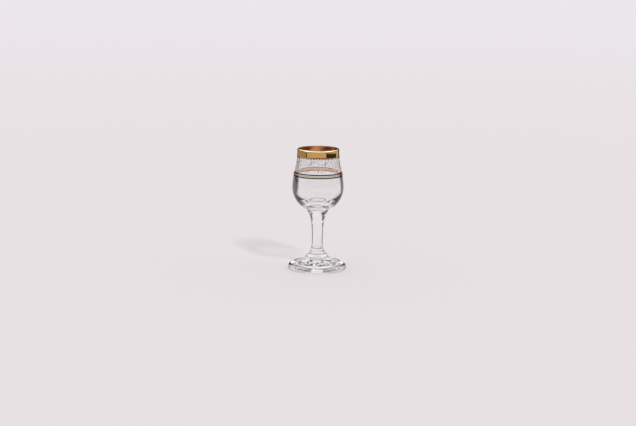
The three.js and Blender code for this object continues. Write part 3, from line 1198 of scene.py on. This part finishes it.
DARK = (0.05, 0.045, 0.045)
PALE = (0.8, 0.8, 0.8)
BLACK = (0.0, 0.0, 0.0)
GLOW_COLOUR = (1, 0.97, 0.92)
CARD_STEP = 4
NEAR = 0.058
CARDS = (
    Card("dim_room", DARK, 0.0, (0, 360), (1.1, 0.048), (1.1, 0.44)),
    Card("softbox", PALE, 2.4, (-100, 100), (1.0, 0.55), (0.5, 1.0)),
    Card("far_softbox", PALE, 0.7, (100, 260), (1.0, 0.55), (0.5, 1.0)),
    Card("window", PALE, 1.25, (168, 192), (0.5, 0.09), (0.5, 0.13)),
    Card("ceiling", DARK, 0.0, (0, 360), (0.5, 1.05), (0.001, 1.05)),
    Card("flag", DARK, 0.0, (36, 98), (NEAR, 0.1045), (NEAR, 0.1089), (NEAR, 0.1069)),
    Card("post", DARK, 0.0, (-59.5, -54), (NEAR, 0.1045), (NEAR, 0.1085)),
    Card("left_post", DARK, 0.0, (-150, -125), (NEAR, 0.098), (NEAR, 0.1115)),
    Card("right_post", DARK, 0.0, (117, 134), (NEAR, 0.098), (NEAR, 0.1115)),
    Card("grey_side", BLACK, 0.46, (-125, -57), (0.06, 0.09), (0.06, 0.1105)),
)


def card_mesh(card):
    mesh = bmesh.new()
    start, end = card.turns
    steps = max(2, math.ceil((end - start) / CARD_STEP))
    edges = ((card.foot, card.foot), (card.head, card.head_end or card.head))
    rows = []
    for i in range(steps + 1):
        share = i / steps
        turn = math.radians(lerp(start, end, share))
        row = []
        for first, last in edges:
            reach = lerp(first[0], last[0], share)
            level = lerp(first[1], last[1], share)
            row.append(mesh.verts.new((reach * math.sin(turn), -reach * math.cos(turn), level)))
        rows.append(row)
    for row, after in zip(rows, rows[1:]):
        mesh.faces.new((row[0], after[0], after[1], row[1]))
    return mesh


def mirrored_card(card):
    paper = Material(card.name)
    paper.set("Base Color", (*card.colour, 1))
    paper.set("Roughness", MATT)
    paper.set("Emission Color", (*GLOW_COLOUR, 1))
    paper.set("Emission Strength", card.glow)
    made = add_object(card.name, card_mesh(card), [paper.made])
    made.visible_camera = False
    made.visible_diffuse = False
    made.visible_transmission = False
    made.visible_volume_scatter = False
    made.visible_shadow = False


# Light and camera. Angles are in degrees and distances in metres.
KEY_STRENGTH = 0.93
KEY_SOFTNESS = 7
KEY_ACROSS = 29.7
KEY_ABOVE = 41.5
SENSOR_WIDTH = 36
LENS = 79.25
CLIP_START = 0.05
CLIP_END = 60
CAMERA_PITCH = 10.7
CAMERA_ROLL = 0.75
CAMERA_DISTANCE = 1.345
CAMERA_AIM = (0.00036, 0, 0.05376)
LIGHT_BOUNCES = 32
MIRROR_BOUNCES = 16
OPEN_BOUNCES = 48


def key_light():
    data = bpy.data.lights.new("key", "SUN")
    data.energy = KEY_STRENGTH
    data.angle = math.radians(KEY_SOFTNESS)
    made = bpy.data.objects.new("key", data)
    made.visible_glossy = False
    bpy.context.scene.collection.objects.link(made)
    across, above = math.radians(KEY_ACROSS), math.radians(KEY_ABOVE)
    level_part = math.cos(above)
    back = Vector((math.sin(across) * level_part, -math.cos(across) * level_part, math.sin(above)))
    made.rotation_mode = "QUATERNION"
    made.rotation_quaternion = (-back).to_track_quat("-Z", "Y")


def camera():
    data = bpy.data.cameras.new("camera")
    data.sensor_width = SENSOR_WIDTH
    data.lens = LENS
    data.clip_start = CLIP_START
    data.clip_end = CLIP_END
    made = bpy.data.objects.new("camera", data)
    bpy.context.scene.collection.objects.link(made)
    pitch, roll = math.radians(CAMERA_PITCH), math.radians(CAMERA_ROLL)
    back = Vector((0, -math.cos(pitch), math.sin(pitch)))
    made.location = Vector(CAMERA_AIM) + back * CAMERA_DISTANCE
    made.rotation_mode = "QUATERNION"
    turn = Matrix.Rotation(QUARTER_TURN - pitch, 3, "X") @ Matrix.Rotation(roll, 3, "Z")
    made.rotation_quaternion = turn.to_quaternion()
    bpy.context.scene.camera = made


def picture():
    scene = bpy.context.scene
    scene.view_settings.view_transform = "Standard"
    scene.cycles.max_bounces = LIGHT_BOUNCES
    scene.cycles.transmission_bounces = LIGHT_BOUNCES
    scene.cycles.glossy_bounces = MIRROR_BOUNCES
    scene.cycles.transparent_max_bounces = OPEN_BOUNCES


glass_pieces()
gold_pieces()
piece("etched_scrolls", etched_frieze(), [etched_glass()], "clear_glass")
pale_floor()
studio()
for card in CARDS:
    mirrored_card(card)
key_light()
camera()
picture()
